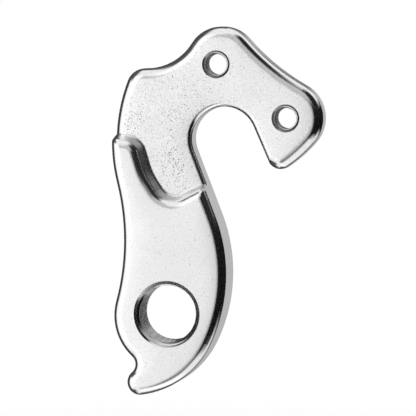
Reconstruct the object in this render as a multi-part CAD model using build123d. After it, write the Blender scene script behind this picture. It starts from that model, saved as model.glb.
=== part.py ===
from build123d import *
import math
import os

# Bicycle derailleur hanger, one solid of aluminium, in millimetres.
# X points forwards along the bicycle, Z points up, and Y points inwards to the wheel.
# The origin is on the derailleur thread's axis, half-way through the limb.
# Outlines are drawn flat, as x and height, with the outer face towards the viewer,
# and the finished solid is stood up at the end.

# Thicknesses: both parts share one flat inner face
LIMB_THICKNESS = 8.0
PLATE_THICKNESS = 4.4

# How far the limb's side stands out from the plate's, as their rounds need to meet cleanly
LIMB_PROUD = 0.02

# Derailleur thread, M10 x 1
THREAD_DIAMETER = 10.0
THREAD_PITCH = 1.0
THREAD_CHAMFER_DIAMETER = 10.5

# Frame bolt threads, M4 x 0.7
BOLT_DIAMETER = 4.0
BOLT_PITCH = 0.7
BOLT_CHAMFER_DIAMETER = 4.4
UPPER_BOLT_BEHIND_AXLE = 1.2
UPPER_BOLT_ABOVE_AXLE = 11.7
LOWER_BOLT_AHEAD_OF_AXLE = 9.8
LOWER_BOLT_ABOVE_AXLE = 3.3

# Axle slot, open at its lower front
AXLE_FORWARD = 8.4
AXLE_UP = 27.3
SLOT_WIDTH = 10.2

# Plate outline
UPPER_BOSS_RADIUS = 5.5
UPPER_BOSS_SHIFT = (0.6, 0.4)
VALLEY_RADIUS = 8.6
SHOULDER_RADIUS = 3.0
SHOULDER_TURN = 158.5
BROW_RADIUS = 35.0
LOWER_BOSS_RADIUS = 5.8
CHIN_RADIUS = 22.0
TIP_RADIUS = 1.8
TIP_AHEAD_OF_AXLE = 8.8
TIP_BELOW_AXLE = 2.9

# Limb outline
BACK_RADIUS = 26.0
BACK_REACH = 8.9
BACK_BELOW_AXLE = 0.4
WAIST_RADIUS = 37.0
EYE_RADIUS = 8.65
EYE_SHIFT = (0.1, -0.4)
NOTCH_RADIUS = 1.7
HOOK_RADIUS = 2.0
HOOK_TURN = -82.0
HEEL_RADIUS = 14.3
HEEL_TURN = -26.0
FRONT_RADIUS = 25.4
FRONT_REACH = 9.25
FRONT_HEIGHT = 6.2

# Step between limb and plate, an S-shaped line given by its corners from the axle
STEP_LEVEL_SLOPE = -0.2
STEP_KNEE = (-13.05, 0.05)
STEP_KNEE_RADIUS = 3.2
STEP_SHIN = (-11.4, -5.35)
STEP_SHIN_RADIUS = 9.0
STEP_DIP = (-8.45, -9.75)
STEP_DIP_RADIUS = 2.7
STEP_RISE_SLOPE = 0.53
STEP_DRAFT = 12.0
STEP_FOOT_RADIUS = 0.3
STEP_CORNER_RADIUS = 0.7

# Rounded outer edges
LIMB_EDGE_RADIUS = 1.5
PLATE_EDGE_RADIUS = 1.7
SLOT_EDGE_RADIUS = 0.8

# Room that a cutting shape is given beyond the metal
CLEAR = 1.0
FAR = 20.0

# Heights through the thickness, with the outer face up
INNER_FACE = -LIMB_THICKNESS / 2
PLATE_FACE = INNER_FACE + PLATE_THICKNESS
LIMB_FACE = LIMB_THICKNESS / 2

# An internal thread's crest is 1.0825 pitches under its nominal diameter
CREST_PITCHES = 1.0825

CONVEX, CONCAVE = 1, -1


class Round:
    """A round stretch of an outline, which goes anticlockwise with the metal on its left."""

    def __init__(self, centre, radius, turn=CONVEX):
        self.centre = centre
        self.bend = radius * turn


def direction(angle):
    return Vector(math.cos(angle), math.sin(angle))


def nested(outer, radius, turn):
    """A tighter round that leaves the outer one smoothly, at the given angle in degrees."""
    return Round(outer.centre + direction(math.radians(turn)) * (outer.bend - radius), radius)


def blend(first, second, radius, turn):
    """A round that runs smoothly from one round into the next."""
    bend = radius * turn
    reach_1 = abs(bend - first.bend)
    reach_2 = abs(bend - second.bend)
    span = second.centre - first.centre
    along = (reach_1**2 - reach_2**2 + span.length**2) / (2 * span.length)
    aside = turn * math.sqrt(reach_1**2 - along**2)
    ahead = span.normalized()
    return Round(first.centre + ahead * along + Vector(-ahead.Y, ahead.X) * aside, radius, turn)


def tangent(first, second):
    """Where the outline leaves one round and joins the next."""
    span = second.centre - first.centre
    lean = math.asin(max(-1.0, min(1.0, (second.bend - first.bend) / span.length)))
    left = direction(math.atan2(span.Y, span.X) - lean + math.pi / 2)
    leave = first.centre - left * first.bend
    join = second.centre - left * second.bend
    return (leave, join) if (join - leave).length > 0.001 else (leave, leave)


def belt(rounds):
    """The face inside a closed outline of rounds, with straight lines where they don't touch."""
    runs = [tangent(a, b) for a, b in zip(rounds, rounds[1:] + rounds[:1])]
    edges = []
    for index, item in enumerate(rounds):
        start, end = runs[index - 1][1], runs[index][0]
        if item.bend:
            first = start - item.centre
            last = end - item.centre
            begin = math.atan2(first.Y, first.X)
            sweep = (math.atan2(last.Y, last.X) - begin) % (2 * math.pi)
            if item.bend < 0:
                sweep -= 2 * math.pi
            middle = item.centre + direction(begin + sweep / 2) * abs(item.bend)
            edges.append(ThreePointArc(start, middle, end))
        if runs[index][1] != end:
            edges.append(Line(end, runs[index][1]))
    return make_face(edges)


def slab(face, low, high):
    return extrude(Plane.XY.offset(low) * face, amount=high - low)


def edges_at(solid, height):
    return solid.edges().filter_by_position(Axis.Z, height - 0.001, height + 0.001)


def leans(edge):
    """Whether an edge runs up the limb's whole side at a slant, as the step's two ends do."""
    size = edge.bounding_box().size
    return size.Z > LIMB_THICKNESS - LIMB_EDGE_RADIUS - 0.01 and size.X + size.Y > 0.01


def threaded_hole(centre, diameter, pitch, chamfer_diameter, low, high):
    """The bore at a thread's crest, with a 45 degree chamfer at both faces."""
    crest = (diameter - CREST_PITCHES * pitch) / 2
    mouth = chamfer_diameter / 2
    depth = mouth - crest
    bore = slab(Circle(crest), low - CLEAR, high + CLEAR)
    for face, side in ((low, 1), (high, -1)):
        profile = Polyline(
            (0, face - side * CLEAR),
            (mouth + CLEAR, face - side * CLEAR),
            (crest, face + side * depth),
            (0, face + side * depth),
            close=True,
        )
        bore += revolve(Plane.XZ * make_face(profile), Axis.Z)
    return Pos(centre.X, centre.Y) * bore


# Places
axle = Vector(AXLE_FORWARD, AXLE_UP)
upper_bolt = axle + Vector(-UPPER_BOLT_BEHIND_AXLE, UPPER_BOLT_ABOVE_AXLE)
lower_bolt = axle + Vector(LOWER_BOLT_AHEAD_OF_AXLE, LOWER_BOLT_ABOVE_AXLE)

# Rounds of the plate
upper_boss = Round(upper_bolt + Vector(*UPPER_BOSS_SHIFT), UPPER_BOSS_RADIUS)
lower_boss = Round(lower_bolt, LOWER_BOSS_RADIUS)
back = Round(Vector(BACK_RADIUS - BACK_REACH, AXLE_UP - BACK_BELOW_AXLE), BACK_RADIUS)
shoulder = nested(back, SHOULDER_RADIUS, SHOULDER_TURN)
valley = blend(upper_boss, shoulder, VALLEY_RADIUS, CONCAVE)
tip = Round(axle + Vector(TIP_AHEAD_OF_AXLE, -TIP_BELOW_AXLE), TIP_RADIUS)
chin = blend(tip, lower_boss, CHIN_RADIUS, CONVEX)
brow = blend(lower_boss, upper_boss, BROW_RADIUS, CONCAVE)
slot = Round(axle, SLOT_WIDTH / 2, CONCAVE)

# Rounds of the limb
eye = Round(Vector(*EYE_SHIFT), EYE_RADIUS)
waist = blend(back, eye, WAIST_RADIUS, CONCAVE)
front = Round(Vector(FRONT_REACH - FRONT_RADIUS, FRONT_HEIGHT), FRONT_RADIUS)
heel = nested(front, HEEL_RADIUS, HEEL_TURN)
hook = nested(heel, HOOK_RADIUS, HOOK_TURN)
notch = blend(eye, hook, NOTCH_RADIUS, CONCAVE)

plate_rim = [tip, chin, lower_boss, brow, upper_boss, valley, shoulder, back]
rounds = plate_rim + [waist, eye, notch, hook, heel, front, slot]
outline = belt(rounds)
limb_outline = belt([Round(item.centre, item.bend + LIMB_PROUD) for item in rounds])

# The plate's rim alone, closed across the slot's mouth and far below the step
below_back = Round(shoulder.centre - Vector(0, 3 * FAR), 0)
below_axle = Round(axle - Vector(0, 3 * FAR), 0)
rim = belt(plate_rim + [below_back, below_axle, Round(axle, 0)])

# Plate: a small round along the slot, and a larger one along the rim
plate = slab(outline, INNER_FACE, PLATE_FACE)
plate = fillet(edges_at(plate, PLATE_FACE), SLOT_EDGE_RADIUS)
rim_block = slab(rim, INNER_FACE, PLATE_FACE)
rim_block = fillet(edges_at(rim_block, PLATE_FACE).sort_by(Axis.Y)[-1], PLATE_EDGE_RADIUS)
plate &= rim_block

# The space in front of the plate, bounded below by the step
knee = axle + Vector(*STEP_KNEE)
shin = axle + Vector(*STEP_SHIN)
dip = axle + Vector(*STEP_DIP)
step_back = knee - Vector(1, STEP_LEVEL_SLOPE) * (BACK_REACH + knee.X + CLEAR)
step_front = Vector(axle.X, dip.Y + STEP_RISE_SLOPE * (axle.X - dip.X))
step = FilletPolyline(
    step_back,
    knee,
    shin,
    dip,
    step_front,
    radius=[STEP_KNEE_RADIUS, STEP_SHIN_RADIUS, STEP_DIP_RADIUS],
)
around = Polyline(
    step_front,
    step_front + Vector(2 * FAR, -FAR / 2),
    step_front + Vector(2 * FAR, 2 * FAR),
    step_back + Vector(0, 2 * FAR),
    step_back,
)
recess = make_face(step.edges() + around.edges())

# The step: a block as thick as the limb, whose wall leans back from the plate
recess = Plane.XY.offset(PLATE_FACE) * recess
recess_block = extrude(recess, amount=LIMB_THICKNESS, taper=-STEP_DRAFT)
step_block = slab(Rectangle(8 * FAR, 8 * FAR), INNER_FACE - CLEAR, LIMB_FACE) - recess_block
step_block -= extrude(recess, amount=-LIMB_THICKNESS, taper=STEP_DRAFT)
step_edge = edges_at(step_block, LIMB_FACE).sort_by_distance(Vector(shin.X, shin.Y, LIMB_FACE))[0]
step_block = fillet(step_edge, LIMB_EDGE_RADIUS)

# Limb: the outline at full thickness, cut by the step, with a tight round at the cut's two ends
limb = slab(limb_outline, INNER_FACE, LIMB_FACE)
limb = fillet(edges_at(limb, LIMB_FACE), LIMB_EDGE_RADIUS)
limb &= step_block
limb = fillet(limb.edges().filter_by(leans), STEP_CORNER_RADIUS)

# A small hollow round along the step's foot, where the plate is flat
foot = extrude(plate.faces().sort_by(Axis.Z)[-1], amount=STEP_FOOT_RADIUS)
foot -= fillet(edges_at(recess_block, PLATE_FACE), STEP_FOOT_RADIUS)

# One solid, with its three threaded holes
hanger = plate + limb + foot
hanger -= threaded_hole(
    Vector(0, 0), THREAD_DIAMETER, THREAD_PITCH, THREAD_CHAMFER_DIAMETER, INNER_FACE, LIMB_FACE
)
for bolt in (upper_bolt, lower_bolt):
    hanger -= threaded_hole(
        bolt, BOLT_DIAMETER, BOLT_PITCH, BOLT_CHAMFER_DIAMETER, INNER_FACE, PLATE_FACE
    )

# Stood up, with the outer face towards -Y
hanger = Plane.XZ * hanger

os.makedirs("parts", exist_ok=True)
export_step(hanger, "parts/hanger.step")
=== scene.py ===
import logging
import math
from dataclasses import dataclass, field
from enum import Enum

import bpy
import numpy as np
from mathutils import Matrix, Vector
from mathutils.geometry import delaunay_2d_cdt


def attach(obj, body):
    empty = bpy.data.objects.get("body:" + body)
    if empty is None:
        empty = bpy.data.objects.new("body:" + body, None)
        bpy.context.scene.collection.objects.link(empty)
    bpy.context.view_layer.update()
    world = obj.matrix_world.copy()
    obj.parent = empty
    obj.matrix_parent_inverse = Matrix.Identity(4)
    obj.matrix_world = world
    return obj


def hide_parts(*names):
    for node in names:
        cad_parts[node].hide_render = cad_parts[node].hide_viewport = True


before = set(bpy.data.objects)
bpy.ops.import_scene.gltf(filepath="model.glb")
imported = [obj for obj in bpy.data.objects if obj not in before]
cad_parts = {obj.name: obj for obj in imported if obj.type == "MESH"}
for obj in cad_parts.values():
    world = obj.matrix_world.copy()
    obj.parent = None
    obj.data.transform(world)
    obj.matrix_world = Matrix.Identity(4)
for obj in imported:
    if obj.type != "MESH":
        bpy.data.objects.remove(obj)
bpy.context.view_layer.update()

# A bicycle derailleur hanger of polished aluminium, seen from its outer face.
# Lengths are in metres: X points forwards along the bicycle, Y inwards to the wheel, Z up.
# The origin is on the derailleur thread's axis, half-way through the limb.

log = logging.getLogger("derailleur_hanger")

Socket = bpy.types.NodeSocket
Array = np.ndarray
Pair = tuple[int, int]

MM = 0.001
WHITE = (1.0, 1.0, 1.0, 1.0)
NOISE_MIDDLE = 0.5


class Side(Enum):
    """The two faces that a threaded hole opens on."""

    OUTER = -1
    INNER = 1


class NodeGraph:
    """Adds nodes to one tree and wires them, so that a finish reads as a list of steps."""

    def __init__(self, tree: bpy.types.NodeTree) -> None:
        """Starts from an empty tree.

        Args:
            tree: The node tree of a material or of the world.
        """
        self.tree = tree
        tree.nodes.clear()

    def add(self, kind: str, **settings: object) -> bpy.types.Node:
        """Adds one node.

        Args:
            kind: The node's type name.
            **settings: Attributes of the node, by name.

        Returns:
            The new node.
        """
        node = self.tree.nodes.new(kind)
        for name, value in settings.items():
            setattr(node, name, value)
        return node

    def plug(self, target: Socket, value: Socket | float | tuple[float, ...]) -> None:
        """Feeds an input from another node's output, or sets it to a fixed value.

        Args:
            target: The input socket.
            value: An output socket, a number or a tuple.
        """
        if isinstance(value, bpy.types.NodeSocket):
            self.tree.links.new(value, target)
        else:
            target.default_value = value

    def math(self, operation: str, *values: Socket | float) -> Socket:
        """Adds a Math node.

        Args:
            operation: The node's operation.
            *values: Its inputs, in order.

        Returns:
            The result's socket.
        """
        node = self.add("ShaderNodeMath", operation=operation)
        for target, value in zip(node.inputs, values):
            self.plug(target, value)
        return node.outputs[0]

    def ramp(
        self,
        value: Socket,
        start: float,
        end: float,
        low: Socket | float = 0.0,
        high: Socket | float = 1.0,
    ) -> Socket:
        """Goes smoothly from one number to another while a value crosses a range.

        Args:
            value: The value that is watched.
            start: Where the change starts.
            end: Where the change ends.
            low: The result before the range.
            high: The result after the range.

        Returns:
            The result's socket.
        """
        node = self.add("ShaderNodeMapRange", interpolation_type="SMOOTHSTEP")
        for name, item in zip(
            ("Value", "From Min", "From Max", "To Min", "To Max"), (value, start, end, low, high)
        ):
            self.plug(node.inputs[name], item)
        return node.outputs["Result"]

    def product(self, *values: Socket | float) -> Socket:
        """Multiplies several numbers.

        Args:
            *values: The numbers, as sockets or constants.

        Returns:
            The product's socket.
        """
        total = values[0]
        for value in values[1:]:
            total = self.math("MULTIPLY", total, value)
        return total

    def blend(self, amount: Socket | float, low: Socket | float, high: Socket | float) -> Socket:
        """Mixes two numbers.

        Args:
            amount: 0 for the first number and 1 for the second.
            low: The first number.
            high: The second number.

        Returns:
            The mixed number's socket.
        """
        node = self.add("ShaderNodeMix", data_type="FLOAT")
        for target, item in zip(node.inputs, (amount, None, low, high)):
            if item is not None:
                self.plug(target, item)
        return node.outputs[0]

    def noise(self, where: Socket, size: float, detail: float = 2.0) -> Socket:
        """Adds soft noise.

        Args:
            where: The coordinates.
            size: The size of its blotches, in metres.
            detail: How many finer layers it has.

        Returns:
            The noise's socket, between 0 and 1 and near NOISE_MIDDLE on average.
        """
        node = self.add("ShaderNodeTexNoise")
        self.plug(node.inputs["Vector"], where)
        node.inputs["Scale"].default_value = 1.0 / size
        node.inputs["Detail"].default_value = detail
        return node.outputs["Fac"]

    def distance(self, place: bpy.types.Node, centre: tuple[float, float]) -> Socket:
        """Measures how far each place lies from an axis that runs through the thickness.

        Args:
            place: The node that gives the place's three coordinates.
            centre: Where the axis is.

        Returns:
            The distance's socket.
        """
        squares = [
            self.math("POWER", self.math("SUBTRACT", place.outputs[name], middle), 2.0)
            for name, middle in zip("XZ", centre)
        ]
        return self.math("SQRT", self.math("ADD", *squares))


@dataclass(frozen=True)
class StudioCard:
    """A stretch of the studio's walls that the metal mirrors, in degrees round the object.

    Azimuth 0 is the side that the camera is on, and 90 is the object's front, to the right.
    """

    azimuths: tuple[float, float]
    heights: tuple[float, float]
    level: float
    fade: float = 6.0
    height_fade: float = 6.0

    def cover(self, graph: NodeGraph, azimuth: Socket, height: Socket) -> Socket:
        """Measures how much of a direction lies on the card.

        Args:
            graph: The world's graph.
            azimuth: The direction's azimuth in degrees.
            height: The direction's height in degrees.

        Returns:
            A socket that is 1 on the card and 0 off it.
        """
        sides = []
        for value, (start, end), fade in (
            (azimuth, self.azimuths, self.fade),
            (height, self.heights, self.height_fade),
        ):
            sides.append(graph.ramp(value, start - fade, start + fade))
            sides.append(graph.ramp(value, end - fade, end + fade, 1.0, 0.0))
        return graph.product(*sides)


@dataclass
class Studio:
    """The white studio: its walls, the dark cards that the metal mirrors, a lamp and the floor."""

    wall_level: float = 1.0
    soft_light: float = 0.8
    cards: list[StudioCard] = field(
        default_factory=lambda: [
            # The bright left side, and the shades that the flat faces fade into on the right.
            StudioCard((-90.0, -22.0), (-34.0, 50.0), 1.25, 14.0, 10.0),
            StudioCard((3.0, 24.0), (-40.0, 60.0), 0.6, 8.0, 8.0),
            StudioCard((-20.0, 8.0), (18.0, 44.0), 0.6, 8.0, 8.0),
            StudioCard((6.0, 50.0), (20.0, 58.0), 0.6, 10.0, 8.0),
            # The bright floor under the front, with darker stretches between it and the face.
            StudioCard((-20.0, 150.0), (-86.0, -63.0), 1.35, 10.0, 5.0),
            StudioCard((-4.0, 40.0), (-57.0, -36.0), 0.2, 14.0, 8.0),
            StudioCard((-150.0, -66.0), (-66.0, -46.0), 0.15, 16.0, 8.0),
            # The black right side, which draws the dark bands, with one light gap low down.
            StudioCard((22.0, 158.0), (-39.0, 24.0), 0.004, 9.0, 8.0),
            StudioCard((102.0, 144.0), (-50.0, -26.0), 0.9, 6.0, 8.0),
            StudioCard((41.0, 106.0), (16.0, 64.0), 0.01, 8.0, 7.0),
            # What the side walls mirror on the right, behind the object.
            StudioCard((150.0, 182.0), (-76.0, -14.0), 0.08, 6.0, 5.0),
            StudioCard((163.0, 190.0), (-20.0, 45.0), 0.54, 5.0, 8.0),
            StudioCard((152.0, 176.0), (23.0, 38.0), 0.02, 5.0, 5.0),
            # The dark left side behind the object, which draws the left outline, and a light gap.
            StudioCard((-190.0, -101.0), (-56.0, 60.0), 0.05, 5.0, 8.0),
            StudioCard((-190.0, -166.0), (-26.0, -7.0), 0.55, 5.0, 3.0),
            StudioCard((-190.0, -76.0), (22.0, 58.0), 0.08, 14.0, 8.0),
            StudioCard((-190.0, -160.0), (-76.0, -27.0), 0.1, 8.0, 4.0),
        ]
    )
    floor_height: float = -0.042
    floor_radius: float = 0.28
    floor_sides: int = 96
    floor_fade: tuple[float, float] = (0.4, 0.95)
    lamp_power: float = 0.5
    lamp_size: float = 0.35
    lamp_place: tuple[float, float, float] = (-0.15, -0.25, 0.45)

    def light(self) -> None:
        """Builds the world: white to the camera, and the cards to the metal."""
        world = bpy.data.worlds.new("studio")
        bpy.context.scene.world = world
        world.use_nodes = True
        graph = NodeGraph(world.node_tree)
        where = graph.add("ShaderNodeTexCoord").outputs["Generated"]
        split = graph.add("ShaderNodeSeparateXYZ")
        graph.plug(split.inputs[0], where)
        ahead = graph.math("MULTIPLY", split.outputs["Y"], -1.0)
        azimuth = graph.math("DEGREES", graph.math("ARCTAN2", split.outputs["X"], ahead))
        height = graph.math("DEGREES", graph.math("ARCSINE", split.outputs["Z"]))
        level: Socket | float = self.wall_level
        for card in self.cards:
            level = graph.blend(card.cover(graph, azimuth, height), level, card.level)
        path = graph.add("ShaderNodeLightPath")
        seen = graph.math("MAXIMUM", path.outputs["Is Camera Ray"], path.outputs["Is Transmission Ray"])
        shown = graph.blend(path.outputs["Is Glossy Ray"], self.soft_light, level)
        background = graph.add("ShaderNodeBackground")
        background.inputs["Color"].default_value = WHITE
        graph.plug(background.inputs["Strength"], graph.blend(seen, shown, 1.0))
        output = graph.add("ShaderNodeOutputWorld")
        graph.plug(output.inputs["Surface"], background.outputs[0])

    def lay_floor(self) -> bpy.types.Object:
        """Lays a round white floor under the object, which fades into the white around it.

        Returns:
            The floor's object.
        """
        turns = np.linspace(0.0, 2.0 * math.pi, self.floor_sides, endpoint=False)
        rim = [
            (self.floor_radius * math.cos(a), self.floor_radius * math.sin(a), self.floor_height)
            for a in turns
        ]
        mesh = bpy.data.meshes.new("studio_floor")
        mesh.from_pydata(rim, [], [list(range(len(rim)))])
        floor = bpy.data.objects.new("studio_floor", mesh)
        bpy.context.scene.collection.objects.link(floor)
        floor.visible_glossy = False
        material = bpy.data.materials.new("studio_floor")
        material.use_nodes = True
        graph = NodeGraph(material.node_tree)
        where = graph.add("ShaderNodeTexCoord").outputs["Object"]
        length = graph.add("ShaderNodeVectorMath", operation="LENGTH")
        graph.plug(length.inputs[0], where)
        cloth = graph.add("ShaderNodeBsdfDiffuse")
        cloth.inputs["Color"].default_value = WHITE
        glow = graph.add("ShaderNodeEmission")
        mix = graph.add("ShaderNodeMixShader")
        start, end = (share * self.floor_radius for share in self.floor_fade)
        graph.plug(mix.inputs[0], graph.ramp(length.outputs["Value"], start, end))
        graph.plug(mix.inputs[1], cloth.outputs[0])
        graph.plug(mix.inputs[2], glow.outputs[0])
        output = graph.add("ShaderNodeOutputMaterial")
        graph.plug(output.inputs["Surface"], mix.outputs[0])
        mesh.materials.append(material)
        return floor

    def hang_lamp(self) -> None:
        """Hangs one large soft lamp up on the left, towards the camera."""
        data = bpy.data.lights.new("soft_lamp", "AREA")
        data.size = self.lamp_size
        data.energy = self.lamp_power
        lamp = bpy.data.objects.new("soft_lamp", data)
        lamp.location = self.lamp_place
        lamp.rotation_mode = "QUATERNION"
        lamp.rotation_quaternion = (-lamp.location).to_track_quat("-Z", "Y")
        lamp.visible_glossy = False
        bpy.context.scene.collection.objects.link(lamp)

    def build(self) -> None:
        """Builds the whole studio."""
        self.light()
        self.lay_floor()
        self.hang_lamp()


@dataclass(frozen=True)
class StudioCamera:
    """The camera, which looks from a little right of the outer face and from slightly above."""

    azimuth: float = 9.8
    elevation: float = 3.2
    distance: float = 0.55
    pixels_per_metre: float = 6400.0
    frame_size: float = 416.0
    thread_pixel: tuple[float, float] = (166.4, 314.4)
    thread_face: tuple[float, float, float] = (0.0, -0.004, 0.0)
    sensor: float = 36.0
    clipping: tuple[float, float] = (0.01, 10.0)

    def build(self) -> bpy.types.Object:
        """Makes the camera, with the thread's centre where the picture has it.

        Returns:
            The camera's object.
        """
        turn, rise = math.radians(self.azimuth), math.radians(self.elevation)
        back = Vector(
            (math.sin(turn) * math.cos(rise), -math.cos(turn) * math.cos(rise), math.sin(rise))
        )
        right = Vector((math.cos(turn), math.sin(turn), 0.0))
        up = back.cross(right)
        aside = (self.thread_pixel[0] - self.frame_size / 2) / self.pixels_per_metre
        below = (self.thread_pixel[1] - self.frame_size / 2) / self.pixels_per_metre
        place = Vector(self.thread_face) + back * self.distance - right * aside + up * below
        data = bpy.data.cameras.new("studio_camera")
        data.sensor_width = self.sensor
        data.lens = self.sensor * self.pixels_per_metre * self.distance / self.frame_size
        data.clip_start, data.clip_end = self.clipping
        camera = bpy.data.objects.new("studio_camera", data)
        turned = Matrix((right, up, back)).transposed().to_4x4()
        camera.matrix_world = Matrix.Translation(place) @ turned
        bpy.context.scene.collection.objects.link(camera)
        bpy.context.scene.camera = camera
        return camera


@dataclass(frozen=True)
class PitField:
    """A round patch of the recessed face where casting pits crowd together."""

    centre: tuple[float, float]
    reach: float
    density: float
    core: float = 0.1


@dataclass(frozen=True)
class PaintedBoreShade:
    """Painted shade inside one threaded hole, which darkens the metal's colour there."""

    centre: tuple[float, float]
    radius: float
    tone: float
    edge: float = 0.97


@dataclass(frozen=True)
class FinishPlaces:
    """The sockets that tell one finish where on the part it is."""

    where: Socket
    place: bpy.types.Node
    facing: Socket
    wall: Socket
    back: Socket
    step: Socket


@dataclass(frozen=True)
class PolishedAluminium:
    """Cast aluminium, polished on its faces, rougher on its side walls, pitted in the recess, with
    painted shade on the step's wall and in the threaded holes.
    """

    colour: float = 0.83
    face_roughness: float = 0.15
    wall_roughness: float = 0.22
    wall_facing: tuple[float, float] = (0.02, 0.2)
    back_roughness: float = 0.55
    back_facing: tuple[float, float] = (0.8, 0.95)
    step_roughness: float = 0.24
    # Painted shade on the step's wall, which darkens its colour.
    step_painted_shade: float = 0.75
    step_place: tuple[float, float] = (-0.0035, 0.0240)
    step_reach: tuple[float, float] = (0.0060, 0.0080)
    step_facing: tuple[float, float] = (0.2, 0.5)
    grain_size: float = 0.00022
    grain_height: float = 0.000005
    grain_tone: float = 0.3
    recess_grain: float = 1.9
    grain_depths: tuple[float, float] = (-0.0008, -0.0003)
    cloud_size: float = 0.007
    cloud_tone: float = 0.13
    wave_size: float = 0.006
    wave_height: float = 0.00001
    pit_size: float = 0.0002
    pit_depth: float = 0.00005
    pit_tone: float = 0.55
    pit_edge: float = 0.07
    pit_thresholds: tuple[float, float] = (0.74, 0.555)
    pit_facing: tuple[float, float] = (0.9, 0.98)
    recess_depths: tuple[float, float] = (-0.0005, -0.0002)
    pit_fields: tuple[PitField, ...] = (
        PitField((-0.0020, 0.0225), 0.0085, 0.95),
        PitField((-0.0065, 0.0300), 0.0065, 0.7),
        PitField((0.0000, 0.0320), 0.0160, 0.5),
    )
    pits_elsewhere: float = 0.1
    # Painted shade inside the threaded holes: each darkens the colour towards its axis.
    painted_bore_shades: tuple[PaintedBoreShade, ...] = (
        PaintedBoreShade((0.0000, 0.0000), 0.0052, 0.8),
        PaintedBoreShade((0.0072, 0.0390), 0.0022, 0.6),
        PaintedBoreShade((0.0182, 0.0306), 0.0022, 0.6),
    )

    def places(self, graph: NodeGraph) -> FinishPlaces:
        """Tells the side walls, the inner face and the step's wall from the outer faces.

        Args:
            graph: The material's graph.

        Returns:
            The sockets that the other methods read.
        """
        where = graph.add("ShaderNodeTexCoord").outputs["Object"]
        place = graph.add("ShaderNodeSeparateXYZ")
        graph.plug(place.inputs[0], where)
        normal = graph.add("ShaderNodeSeparateXYZ")
        graph.plug(normal.inputs[0], graph.add("ShaderNodeNewGeometry").outputs["Normal"])
        facing = graph.math("ABSOLUTE", normal.outputs["Y"])
        away = graph.distance(place, self.step_place)
        return FinishPlaces(
            where=where,
            place=place,
            facing=facing,
            wall=graph.ramp(facing, *self.wall_facing, 1.0, 0.0),
            back=graph.ramp(normal.outputs["Y"], *self.back_facing),
            step=graph.product(
                graph.ramp(away, *self.step_reach, 1.0, 0.0),
                graph.ramp(normal.outputs["X"], *self.step_facing),
            ),
        )

    def pits(self, graph: NodeGraph, at: FinishPlaces) -> Socket:
        """Scatters small casting pits, which crowd together in the recess beside the step.

        Args:
            graph: The material's graph.
            at: Where on the part the finish is.

        Returns:
            A socket that is 1 in a pit and 0 beside it.
        """
        deep = graph.ramp(at.place.outputs["Y"], *self.recess_depths)
        crowd: Socket | float = 0.0
        for patch in self.pit_fields:
            away = graph.distance(at.place, patch.centre)
            near = graph.ramp(away, patch.core * patch.reach, patch.reach, patch.density, 0.0)
            crowd = graph.math("MAXIMUM", crowd, near)
        crowd = graph.math("MAXIMUM", graph.product(crowd, deep), self.pits_elsewhere)
        speck = graph.noise(at.where, self.pit_size, detail=1.0)
        threshold = graph.blend(crowd, *self.pit_thresholds)
        pits = graph.ramp(graph.math("SUBTRACT", speck, threshold), 0.0, self.pit_edge)
        return graph.product(pits, graph.ramp(at.facing, *self.pit_facing))

    def tone(self, graph: NodeGraph, at: FinishPlaces, grain: Socket, pits: Socket) -> Socket:
        """Mixes the metal's tone from its grain, soft clouds and pits, with painted shade on the step's
        wall and in the threaded holes.

        Args:
            graph: The material's graph.
            at: Where on the part the finish is.
            grain: The grain's noise.
            pits: 1 in a pit.

        Returns:
            The tone's socket.
        """
        deep = graph.ramp(at.place.outputs["Y"], *self.grain_depths, 1.0, self.recess_grain)
        speckle = graph.product(graph.math("SUBTRACT", grain, NOISE_MIDDLE), self.grain_tone, deep)
        cloud = graph.math("SUBTRACT", graph.noise(at.where, self.cloud_size), NOISE_MIDDLE)
        cloud = graph.product(cloud, self.cloud_tone)
        tone = graph.math("ADD", graph.math("ADD", speckle, 1.0), cloud)
        tone = graph.product(tone, graph.blend(pits, self.colour, self.colour * self.pit_tone))
        # Painted shade: the colour of the step's wall is darkened.
        tone = graph.product(tone, graph.blend(at.step, 1.0, self.step_painted_shade))
        # Painted shade: the colour is darkened inside each threaded hole.
        for bore in self.painted_bore_shades:
            away = graph.distance(at.place, bore.centre)
            shade = graph.ramp(away, bore.edge * bore.radius, bore.radius, bore.tone, 1.0)
            tone = graph.product(tone, shade)
        return tone

    def roughness(self, graph: NodeGraph, at: FinishPlaces) -> Socket:
        """Chooses how sharply each part of the surface mirrors.

        Args:
            graph: The material's graph.
            at: Where on the part the finish is.

        Returns:
            The roughness's socket.
        """
        roughness = graph.blend(at.wall, self.face_roughness, self.wall_roughness)
        roughness = graph.blend(at.step, roughness, self.step_roughness)
        return graph.blend(at.back, roughness, self.back_roughness)

    def relief(self, graph: NodeGraph, at: FinishPlaces, grain: Socket, pits: Socket) -> Socket:
        """Stacks the fine bumps of the surface: long waves, the grain and the pits.

        Args:
            graph: The material's graph.
            at: Where on the part the finish is.
            grain: The grain's noise.
            pits: 1 in a pit.

        Returns:
            The bumped normal's socket.
        """
        bump = None
        for height, swing in (
            (graph.noise(at.where, self.wave_size), self.wave_height),
            (grain, self.grain_height),
            (pits, -self.pit_depth),
        ):
            node = graph.add("ShaderNodeBump", invert=swing < 0)
            node.inputs["Strength"].default_value = 1.0
            node.inputs["Distance"].default_value = abs(swing)
            graph.plug(node.inputs["Height"], height)
            if bump is not None:
                graph.plug(node.inputs["Normal"], bump)
            bump = node.outputs["Normal"]
        return bump

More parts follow.
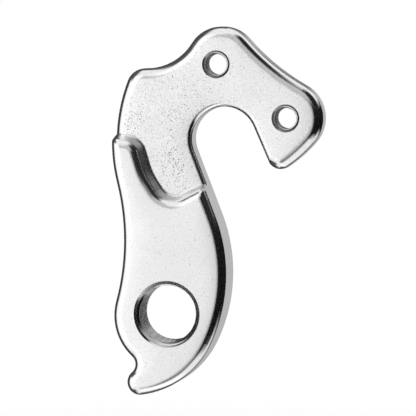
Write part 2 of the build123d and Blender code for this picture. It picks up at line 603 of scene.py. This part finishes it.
    def build(self) -> bpy.types.Material:
        """Makes the material.

        Returns:
            The material.
        """
        material = bpy.data.materials.new("polished_aluminium")
        material.use_nodes = True
        graph = NodeGraph(material.node_tree)
        at = self.places(graph)
        pits = self.pits(graph, at)
        grain = graph.noise(at.where, self.grain_size)
        tone = self.tone(graph, at, grain, pits)
        shade = graph.add("ShaderNodeCombineColor")
        for channel in shade.inputs:
            graph.plug(channel, tone)
        shader = graph.add("ShaderNodeBsdfPrincipled")
        graph.plug(shader.inputs["Base Color"], shade.outputs[0])
        shader.inputs["Metallic"].default_value = 1.0
        graph.plug(shader.inputs["Roughness"], self.roughness(graph, at))
        graph.plug(shader.inputs["Normal"], self.relief(graph, at, grain, pits))
        output = graph.add("ShaderNodeOutputMaterial")
        graph.plug(output.inputs["Surface"], shader.outputs[0])
        return material


def edges_near(places: Array, edges: Array, blur: float) -> tuple[Array, Array]:
    """Finds how far some places are from the nearest of some edges, and which way those face.

    Args:
        places: The places, as rows of two numbers.
        edges: The edges, as pairs of such rows, each with its face on the left.
        blur: How far beyond the nearest edge others still count.

    Returns:
        The distances, and the edges' outward directions, shorter where they disagree.
    """
    start, run = edges[:, 0], edges[:, 1] - edges[:, 0]
    span = np.linalg.norm(run, axis=1)
    outward = np.stack((run[:, 1], -run[:, 0]), axis=1) / span[:, None]
    from_start = places[:, None] - start
    along = np.clip((from_start * run).sum(-1) / (run * run).sum(-1), 0.0, 1.0)
    length = np.linalg.norm(along[..., None] * run - from_start, axis=-1)
    distance = length.min(axis=1)
    weight = span * np.exp((distance[:, None] - length) / blur)
    return distance, weight @ outward / weight.sum(axis=1)[:, None]


def inside_outline(places: Array, edges: Array) -> Array:
    """Tells which places lie inside a closed outline, holes left out.

    Args:
        places: The places, as rows of two numbers.
        edges: The outline's edges, as pairs of such rows.

    Returns:
        One truth value for each place.
    """
    start, end = edges[:, 0], edges[:, 1]
    spans = (start[:, 1] > places[:, None, 1]) != (end[:, 1] > places[:, None, 1])
    rise = np.where(end[:, 1] == start[:, 1], 1.0, end[:, 1] - start[:, 1])
    share = (places[:, None, 1] - start[:, 1]) / rise
    beyond = places[:, None, 0] < start[:, 0] + share * (end[:, 0] - start[:, 0])
    return (spans & beyond).sum(axis=1) % 2 == 1


@dataclass(frozen=True)
class ThreadedHole:
    """One threaded hole, cut with its real turns, in millimetres.

    The lead-in is the slope of the outer mouth's chamfer. The thread's profile is given in shares
    of its pitch: how much narrower the crest is than the thread's diameter, half the crest's flat,
    and the width of a flank.
    """

    name: str
    centre: tuple[float, float]
    diameter: float
    pitch: float
    mouth_diameter: float
    outer_face: float
    start_turn: float = 0.4
    lead_in: float = 0.92
    inner_face: float = 4.0
    crest_depth: float = 1.0825
    crest_flat: float = 0.125
    flank: float = 0.3125
    rows_per_turn: int = 32
    columns_per_step: int = 2

    @property
    def crest(self) -> float:
        """The radius at the thread's crest."""
        return (self.diameter - self.crest_depth * self.pitch) / 2

    @property
    def mouth(self) -> float:
        """The radius where the chamfer meets the face."""
        return self.mouth_diameter / 2

    def radius(self, angle: Array, depth: Array) -> Array:
        """The hole's radius, with the turns and both chamfers.

        Args:
            angle: Angles round the axis, in radians.
            depth: Places along the axis.

        Returns:
            The radius at each place.
        """
        turn = depth / self.pitch + angle / (2 * math.pi) + self.start_turn
        off_crest = np.abs(turn - np.round(turn))
        rise = np.clip((off_crest - self.crest_flat) / self.flank, 0.0, 1.0)
        thread = self.crest + (self.diameter / 2 - self.crest) * rise
        outer = self.mouth - self.lead_in * (depth - self.outer_face)
        inner = self.mouth - (self.inner_face - depth)
        return np.maximum(thread, np.maximum(outer, inner))

    def lining(self, angle: Array, depth: Array) -> Array:
        """The points of the hole's wall.

        Args:
            angle: Angles round the axis, in radians.
            depth: Places along the axis.

        Returns:
            The point at each place.
        """
        radius = self.radius(angle, depth)
        across = self.centre[0] + radius * np.cos(angle)
        up = self.centre[1] + radius * np.sin(angle)
        return np.stack((across, depth, up), axis=-1)

    def inward(self, angle: Array, depth: Array) -> Array:
        """The directions that the hole's wall faces.

        Args:
            angle: Angles round the axis, in radians.
            depth: Places along the axis.

        Returns:
            The direction at each place.
        """
        step = 0.5 * self.pitch / self.rows_per_turn
        along = (self.radius(angle, depth + step) - self.radius(angle, depth - step)) / (2 * step)
        turn = step / self.mouth
        spread = self.radius(angle + turn, depth) - self.radius(angle - turn, depth)
        around = spread / (2 * turn * self.radius(angle, depth))
        across = -np.cos(angle) - around * np.sin(angle)
        up = -np.sin(angle) + around * np.cos(angle)
        directions = np.stack((across, along, up), axis=-1)
        return directions / np.linalg.norm(directions, axis=-1, keepdims=True)


@dataclass(frozen=True)
class PolishedCrown:
    """The slight fall that polishing gives a flat face towards its rounded edges, in millimetres.

    The round radii are those of the rounds beside each outer face. A direction that differs from
    its round's by more than the likeness belongs to another surface and is left as it is.
    """

    outer_faces: tuple[float, float] = (-4.0, -0.4)
    round_radii: tuple[tuple[float, ...], ...] = ((1.5,), (1.7, 0.8))
    nearly_flat: float = -0.95
    least_lean: float = 0.01
    likeness: float = math.radians(14.0)
    fall: float = math.radians(6.5)
    reach: float = 2.6
    blur: float = 0.8
    spacing: float = 0.5
    margin: float = 0.2
    weld: float = 0.00001

    @property
    def drop(self) -> float:
        """How far a face lies lower at its edge than in its middle."""
        return math.tan(self.fall) * self.reach


@dataclass
class HangerBody:
    """The one-piece hanger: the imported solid's own faces, with real threads in its holes.

    Points that lie within the tolerances of a level, a rim or a bore's wall count as lying on it.
    """

    node: str = "hanger"
    holes: list[ThreadedHole] = field(
        default_factory=lambda: [
            ThreadedHole("derailleur_thread", (0.0, 0.0), 10.0, 1.0, 10.5, -4.0),
            ThreadedHole("frame_bolt_upper", (7.2, 39.0), 4.0, 0.7, 4.4, -0.4),
            ThreadedHole("frame_bolt_lower", (18.2, 30.6), 4.0, 0.7, 4.4, -0.4),
        ]
    )
    crown: PolishedCrown = PolishedCrown()
    finish: PolishedAluminium = PolishedAluminium()
    digits: int = 4
    level_tolerance: float = 0.001
    rim_tolerance: float = 0.002
    bore_tolerance: float = 0.01
    points: Array = field(init=False)
    faces: list[list[int]] = field(init=False)
    normals: list[Array] = field(init=False)
    drops: dict[int, float] = field(init=False, default_factory=dict)

    def read_solid(self) -> None:
        """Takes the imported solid's points, triangles and surface directions, in millimetres."""
        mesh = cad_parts[self.node].data
        points = np.array([v.co for v in mesh.vertices]) / MM
        kept, first = np.unique(np.round(points, self.digits), axis=0, return_inverse=True)
        corners = np.array([first.ravel()[list(p.vertices)] for p in mesh.polygons])
        directions = np.empty(len(mesh.loops) * 3)
        mesh.corner_normals.foreach_get("vector", directions)
        whole = [len(set(face)) == 3 for face in corners.tolist()]
        self.points = kept
        self.faces = corners[whole].tolist()
        self.normals = list(directions.reshape(-1, 3, 3)[whole])

    def keep_faces(self, kept: list[int]) -> None:
        """Leaves only the faces with the given numbers."""
        self.faces = [self.faces[index] for index in kept]
        self.normals = [self.normals[index] for index in kept]

    def open_hole(self, hole: ThreadedHole) -> None:
        """Takes the plain bore's triangles away.

        Args:
            hole: The hole that gets its turns instead.
        """
        away = np.hypot(self.points[:, 0] - hole.centre[0], self.points[:, 2] - hole.centre[1])
        inside = away < hole.mouth + self.bore_tolerance
        self.keep_faces([index for index, face in enumerate(self.faces) if not inside[face].all()])

    def soft_edges(self, flat: list[int], height: float) -> tuple[list[Pair], list[Pair]]:
        """Finds the edges of a flat face, and which of them run into a round.

        Args:
            flat: The numbers of the face's triangles.
            height: The face's place through the thickness.

        Returns:
            All the edges with the face on their left, and those that run into a round.
        """
        owners: dict[Pair, int] = {}
        for index, face in enumerate(self.faces):
            for start, end in zip(face, face[1:] + face[:1]):
                owners[(start, end)] = index
        inside = set(flat)
        rim, soft = [], []
        for index in flat:
            face = self.faces[index]
            for start, end in zip(face, face[1:] + face[:1]):
                beyond = owners.get((end, start))
                if beyond in inside:
                    continue
                rim.append((start, end))
                if beyond is None:
                    continue
                other = self.faces[beyond]
                level = self.normals[beyond][other.index(start)][1]
                deepest = max(self.points[corner][1] for corner in other)
                if level < self.crown.nearly_flat and deepest > height + self.rim_tolerance:
                    soft.append((start, end))
        return rim, soft

    def flat_triangles(self, height: float) -> list[int]:
        """Finds the triangles of one flat outer face.

        Args:
            height: The face's place through the thickness.

        Returns:
            The triangles' numbers.
        """
        level = np.abs(self.points[:, 1] - height) < self.level_tolerance
        return [
            index
            for index, face in enumerate(self.faces)
            if level[face].all() and (self.normals[index][:, 1] < self.crown.nearly_flat).all()
        ]

    def finer_mesh(self, height: float, rim: list[Pair]) -> tuple[list[int], Array]:
        """Fills the rim of a flat face with an even grid of new points, and joins them up.

        Args:
            height: The face's place through the thickness.
            rim: The face's edges.

        Returns:
            The numbers of the face's points, and its new triangles.
        """
        across = self.points[:, [0, 2]]
        ends = across[np.array(rim)]
        low, high = ends.min((0, 1)), ends.max((0, 1))
        lines = (np.arange(a, b, self.crown.spacing) for a, b in zip(low, high))
        grid = np.stack(np.meshgrid(*lines), axis=-1).reshape(-1, 2)
        grid = grid[inside_outline(grid, ends)]
        grid = grid[edges_near(grid, ends, self.crown.blur)[0] > self.crown.margin]
        used = sorted({corner for pair in rim for corner in pair})
        place = {corner: index for index, corner in enumerate(used)}
        plane = [Vector(point) for point in np.vstack((across[used], grid)).tolist()]
        kept_edges = [(place[a], place[b]) for a, b in rim]
        made = delaunay_2d_cdt(plane, kept_edges, [], 0, self.crown.weld)
        number = used + list(range(len(self.points), len(self.points) + len(grid)))
        fresh = np.column_stack((grid[:, 0], np.full(len(grid), height), grid[:, 1]))
        self.points = np.vstack((self.points, fresh))
        corners = [number[source[0]] for source in made[3]]
        triangles = np.array([[corners[item] for item in face] for face in made[2]])
        middles = self.points[triangles][:, :, [0, 2]].mean(axis=1)
        triangles = triangles[inside_outline(middles, ends)]
        sides = self.points[triangles]
        turned = np.cross(sides[:, 1] - sides[:, 0], sides[:, 2] - sides[:, 0])[:, 1] > 0
        triangles[turned] = triangles[turned][:, ::-1]
        return number, triangles

    def lean_outwards(self, number: list[int], soft: list[Pair]) -> dict[int, Array]:
        """Leans a face's directions towards its rounds, and notes how far each point falls.

        Args:
            number: The numbers of the face's points.
            soft: The face's edges that run into a round.

        Returns:
            Each point's surface direction.
        """
        across = self.points[:, [0, 2]]
        distance, towards = edges_near(across[number], across[np.array(soft)], self.crown.blur)
        fading = np.exp(-distance / self.crown.reach)
        lean = math.tan(self.crown.fall) * fading
        normals = np.column_stack((towards[:, 0] * lean, -np.ones(len(lean)), towards[:, 1] * lean))
        normals /= np.linalg.norm(normals, axis=1, keepdims=True)
        self.drops.update(zip(number, self.crown.drop * fading))
        return dict(zip(number, normals))

    def crown_face(self, height: float) -> None:
        """Gives one flat outer face a finer mesh that falls softly towards its rounds.

        Args:
            height: The face's place through the thickness.
        """
        flat = self.flat_triangles(height)
        rim, soft = self.soft_edges(flat, height)
        number, triangles = self.finer_mesh(height, rim)
        direction = self.lean_outwards(number, soft)
        replaced = set(flat)
        self.keep_faces([index for index in range(len(self.faces)) if index not in replaced])
        soft_corners = {corner for pair in soft for corner in pair}
        for face, corner_normals in zip(self.faces, self.normals):
            for slot, corner in enumerate(face):
                if corner in soft_corners and corner_normals[slot][1] < self.crown.nearly_flat:
                    corner_normals[slot] = direction[corner]
        self.faces.extend(triangles.tolist())
        self.normals.extend(np.array([direction[item] for item in face]) for face in triangles)

    def crown_rounds(self) -> None:
        """Turns the rounds' directions a little further out, to carry on from the crowned faces."""
        for height, radii in zip(self.crown.outer_faces, self.crown.round_radii):
            for face, corner_normals in zip(self.faces, self.normals):
                for slot, corner in enumerate(face):
                    depth = self.points[corner][1] - height
                    normal = corner_normals[slot]
                    aside = math.hypot(normal[0], normal[2])
                    on_round = self.rim_tolerance < depth < max(radii)
                    if not on_round or aside < self.crown.least_lean:
                        continue
                    packed = math.atan2(aside, -normal[1])
                    angles = [math.acos(1 - min(depth / radius, 1.0)) for radius in radii]
                    angle = min(angles, key=lambda item: abs(item - packed))
                    if abs(angle - packed) > self.crown.likeness:
                        continue
                    self.drops.setdefault(corner, self.crown.drop * math.cos(angle))
                    turned = angle + self.crown.fall * (1 - angle / (math.pi / 2))
                    across = math.sin(turned) / aside
                    corner_normals[slot] = np.array(
                        (normal[0] * across, -math.cos(turned), normal[2] * across)
                    )

    def add_crown(self) -> None:
        """Crowns both outer faces and the rounds beside them."""
        for height in self.crown.outer_faces:
            self.crown_face(height)
        self.crown_rounds()
        for corner, drop in self.drops.items():
            self.points[corner, 1] += drop

    def rim(self, hole: ThreadedHole, side: Side) -> Array:
        """Finds the points where a hole opens on a face.

        Args:
            hole: The hole.
            side: The face.

        Returns:
            The points' numbers, in order round the axis.
        """
        face = hole.outer_face if side is Side.OUTER else hole.inner_face
        across = self.points[:, 0] - hole.centre[0]
        up = self.points[:, 2] - hole.centre[1]
        off_rim = np.abs(np.hypot(across, up) - hole.mouth)
        off_face = np.abs(self.points[:, 1] - face)
        found = np.flatnonzero(np.maximum(off_rim, off_face) < self.rim_tolerance)
        return found[np.argsort(np.arctan2(up[found], across[found]))]

    def cut_thread(self, hole: ThreadedHole, rims: dict[Side, Array]) -> None:
        """Lines a hole with its chamfers and turns, joined to both faces.

        Args:
            hole: The hole.
            rims: The points of the hole's rim on each face.
        """
        outer = rims[Side.OUTER]
        angles = np.arctan2(
            self.points[outer, 2] - hole.centre[1], self.points[outer, 0] - hole.centre[0]
        )
        steps = np.append(angles, angles[0] + 2 * math.pi)
        count = hole.columns_per_step
        fine = np.interp(np.arange(len(outer) * count) / count, np.arange(len(steps)), steps)
        length = hole.inner_face - hole.outer_face
        rows = round(length / hole.pitch * hole.rows_per_turn)
        depths = np.linspace(hole.outer_face, hole.inner_face, rows + 1)[1:-1]
        angle, depth = np.meshgrid(fine, depths)
        self.add_wall(hole, rims, angle, depth)

    def add_wall(
        self, hole: ThreadedHole, rims: dict[Side, Array], angle: Array, depth: Array
    ) -> None:
        """Adds a hole's lining as a grid of points, and ties it to the rims.

        Args:
            hole: The hole.
            rims: The points of the hole's rim on each face.
            angle: The grid's angles round the axis.
            depth: The grid's places along the axis.
        """
        start = len(self.points)
        inward = hole.inward(angle, depth)
        self.points = np.vstack((self.points, hole.lining(angle, depth).reshape(-1, 3)))
        direction = dict(enumerate(inward.reshape(-1, 3), start))
        rows, columns = angle.shape
        number = start + np.arange(rows * columns).reshape(rows, columns)
        ends = ((Side.OUTER, 0), (Side.INNER, -1))
        for side, row in ends:
            for index, point in enumerate(rims[side]):
                direction[point] = inward[row, index * hole.columns_per_step % columns]
        faces: list[list[int]] = []
        for upper, lower in zip(number, number[1:]):
            for column in range(columns):
                after = (column + 1) % columns
                faces.append([upper[column], upper[after], lower[after], lower[column]])
        for side, row in ends:
            ring = rims[side]
            for index, point in enumerate(ring):
                near = [
                    number[row, (index * hole.columns_per_step + step) % columns]
                    for step in range(hole.columns_per_step + 1)
                ]
                face = [point, *near, ring[(index + 1) % len(ring)]]
                faces.append(face if side is Side.INNER else face[::-1])
        for face in faces:
            self.faces.append([int(item) for item in face])
            self.normals.append(np.array([direction[item] for item in face]))

    def build(self) -> bpy.types.Object:
        """Makes the hanger's mesh and dresses it.

        Returns:
            The hanger's object.
        """
        self.read_solid()
        for hole in self.holes:
            self.open_hole(hole)
        rims = {hole.name: {side: self.rim(hole, side) for side in Side} for hole in self.holes}
        self.add_crown()
        for hole in self.holes:
            self.cut_thread(hole, rims[hole.name])
        mesh = bpy.data.meshes.new("hanger_body")
        mesh.from_pydata((self.points * MM).tolist(), [], self.faces)
        mesh.shade_smooth()
        mesh.normals_split_custom_set(np.concatenate(self.normals).tolist())
        body = bpy.data.objects.new("hanger_body", mesh)
        bpy.context.scene.collection.objects.link(body)
        mesh.materials.append(self.finish.build())
        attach(body, "root")
        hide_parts(self.node)
        return body


def main() -> None:
    """Builds the studio and the hanger, and reports each piece."""
    logging.basicConfig(level=logging.INFO, format="%(message)s")
    bpy.context.scene.view_settings.view_transform = "Standard"
    StudioCamera().build()
    Studio().build()
    body = HangerBody().build()
    log.info("%s: %d faces", body.name, len(body.data.polygons))


if __name__ == "__main__":
    main()
